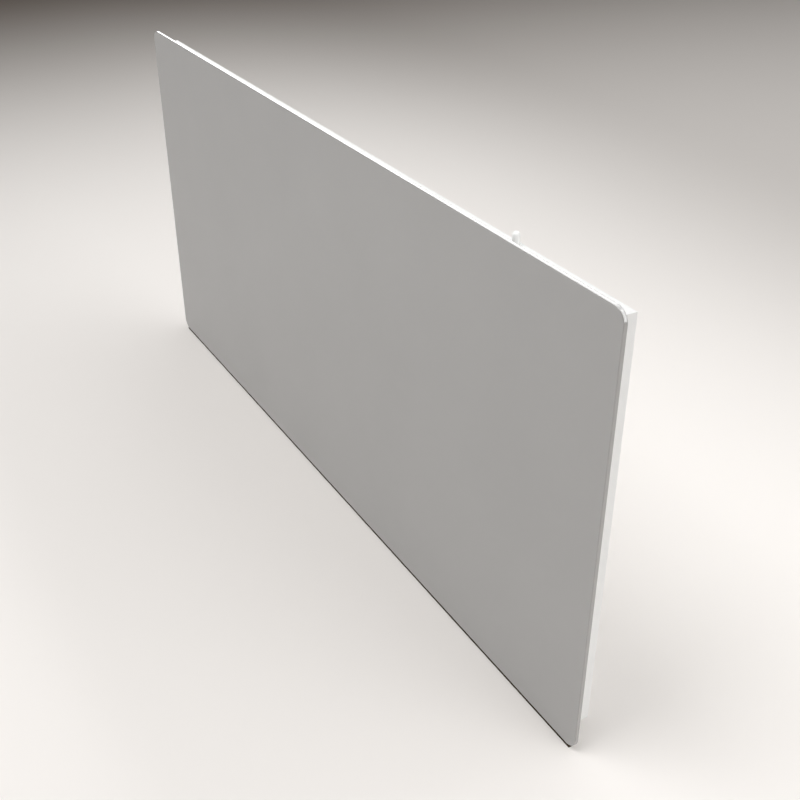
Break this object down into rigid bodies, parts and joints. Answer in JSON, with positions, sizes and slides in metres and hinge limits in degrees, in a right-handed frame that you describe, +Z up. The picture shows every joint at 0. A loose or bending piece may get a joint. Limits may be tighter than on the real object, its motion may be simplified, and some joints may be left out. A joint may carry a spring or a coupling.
{
  "type": "infrared panel heater",
  "caption": "Flat wall-hung infrared panel heater: a satin grey glass plate with rounded corners on a shallow white steel casing, with a push button on its top edge.",
  "frame": {"origin": "on the wall plane, in the middle of the four keyholes", "axes": "+X right as seen from the room, +Y from the room into the wall, +Z up"},
  "size_m": [1.2, 0.0465, 0.55],
  "materials": {
    "satin_glass": "satin",
    "silicone": "matte",
    "amber_film": "satin",
    "etched_foil": "satin",
    "clear_film": "satin",
    "brass": "satin",
    "foil_faced_mat": "satin",
    "mineral_board": "matte",
    "black_phenolic": "satin",
    "white_powder_coat": "satin",
    "zinc_plated_steel": "satin",
    "bare_aluminium": "satin",
    "grey_nylon": "matte",
    "white_plastic": "gloss",
    "ivory_nylon": "matte",
    "black_rubber": "matte",
    "brown_lead": "satin",
    "white_lead": "satin",
    "blue_lead": "satin",
    "green_lead": "satin"
  },
  "bodies": {
    "heater": {"front_plate": "satin_glass", "bond_seal": "silicone", "heater_film": "amber_film", "heater_track": "etched_foil", "facing_film": "clear_film", "film_contacts": "brass", "reflector_mat": "foil_faced_mat", "insulation_board": "mineral_board", "thermal_cutouts": "black_phenolic", "cutout_blades": "brass", "casing_rail_top": "white_powder_coat", "casing_rail_right": "white_powder_coat", "casing_rail_bottom": "white_powder_coat", "casing_rail_left": "white_powder_coat", "corner_keys": "zinc_plated_steel", "rear_cover": "white_powder_coat", "cover_screws": "white_powder_coat", "hanger_upper_left": "zinc_plated_steel", "hanger_upper_right": "zinc_plated_steel", "hanger_lower_left": "zinc_plated_steel", "hanger_lower_right": "zinc_plated_steel", "hanger_rivets": "zinc_plated_steel", "rating_plate": "bare_aluminium", "terminal_box": "grey_nylon", "terminal_cover": "white_plastic", "terminal_cover_screws": "zinc_plated_steel", "terminal_block": "ivory_nylon", "terminal_clamps": "brass", "terminal_screws": "zinc_plated_steel", "earth_stud": "brass", "earth_ring": "brass", "earth_nuts": "brass", "cord_gland_body": "grey_nylon", "cord_gland_locknut": "grey_nylon", "cord_gland_seal": "black_rubber", "cord_gland_cap": "grey_nylon", "switch_body": "white_plastic", "switch_collar": "white_plastic", "button_spring": "zinc_plated_steel", "switch_tabs": "brass", "live_lead": "brown_lead", "switched_lead": "brown_lead", "link_lead": "white_lead", "return_lead": "white_lead", "neutral_lead": "blue_lead", "earth_lead": "green_lead"},
    "button": {"push_button": "white_plastic"}
  },
  "joints": [
    {"name": "button_press", "type": "slide", "parent": "heater", "child": "button", "axis": [0, 0, -1], "range_m": [0, 0.0025], "stiffness_N_per_m": 400, "deforming": ["button_spring"]}
  ]
}
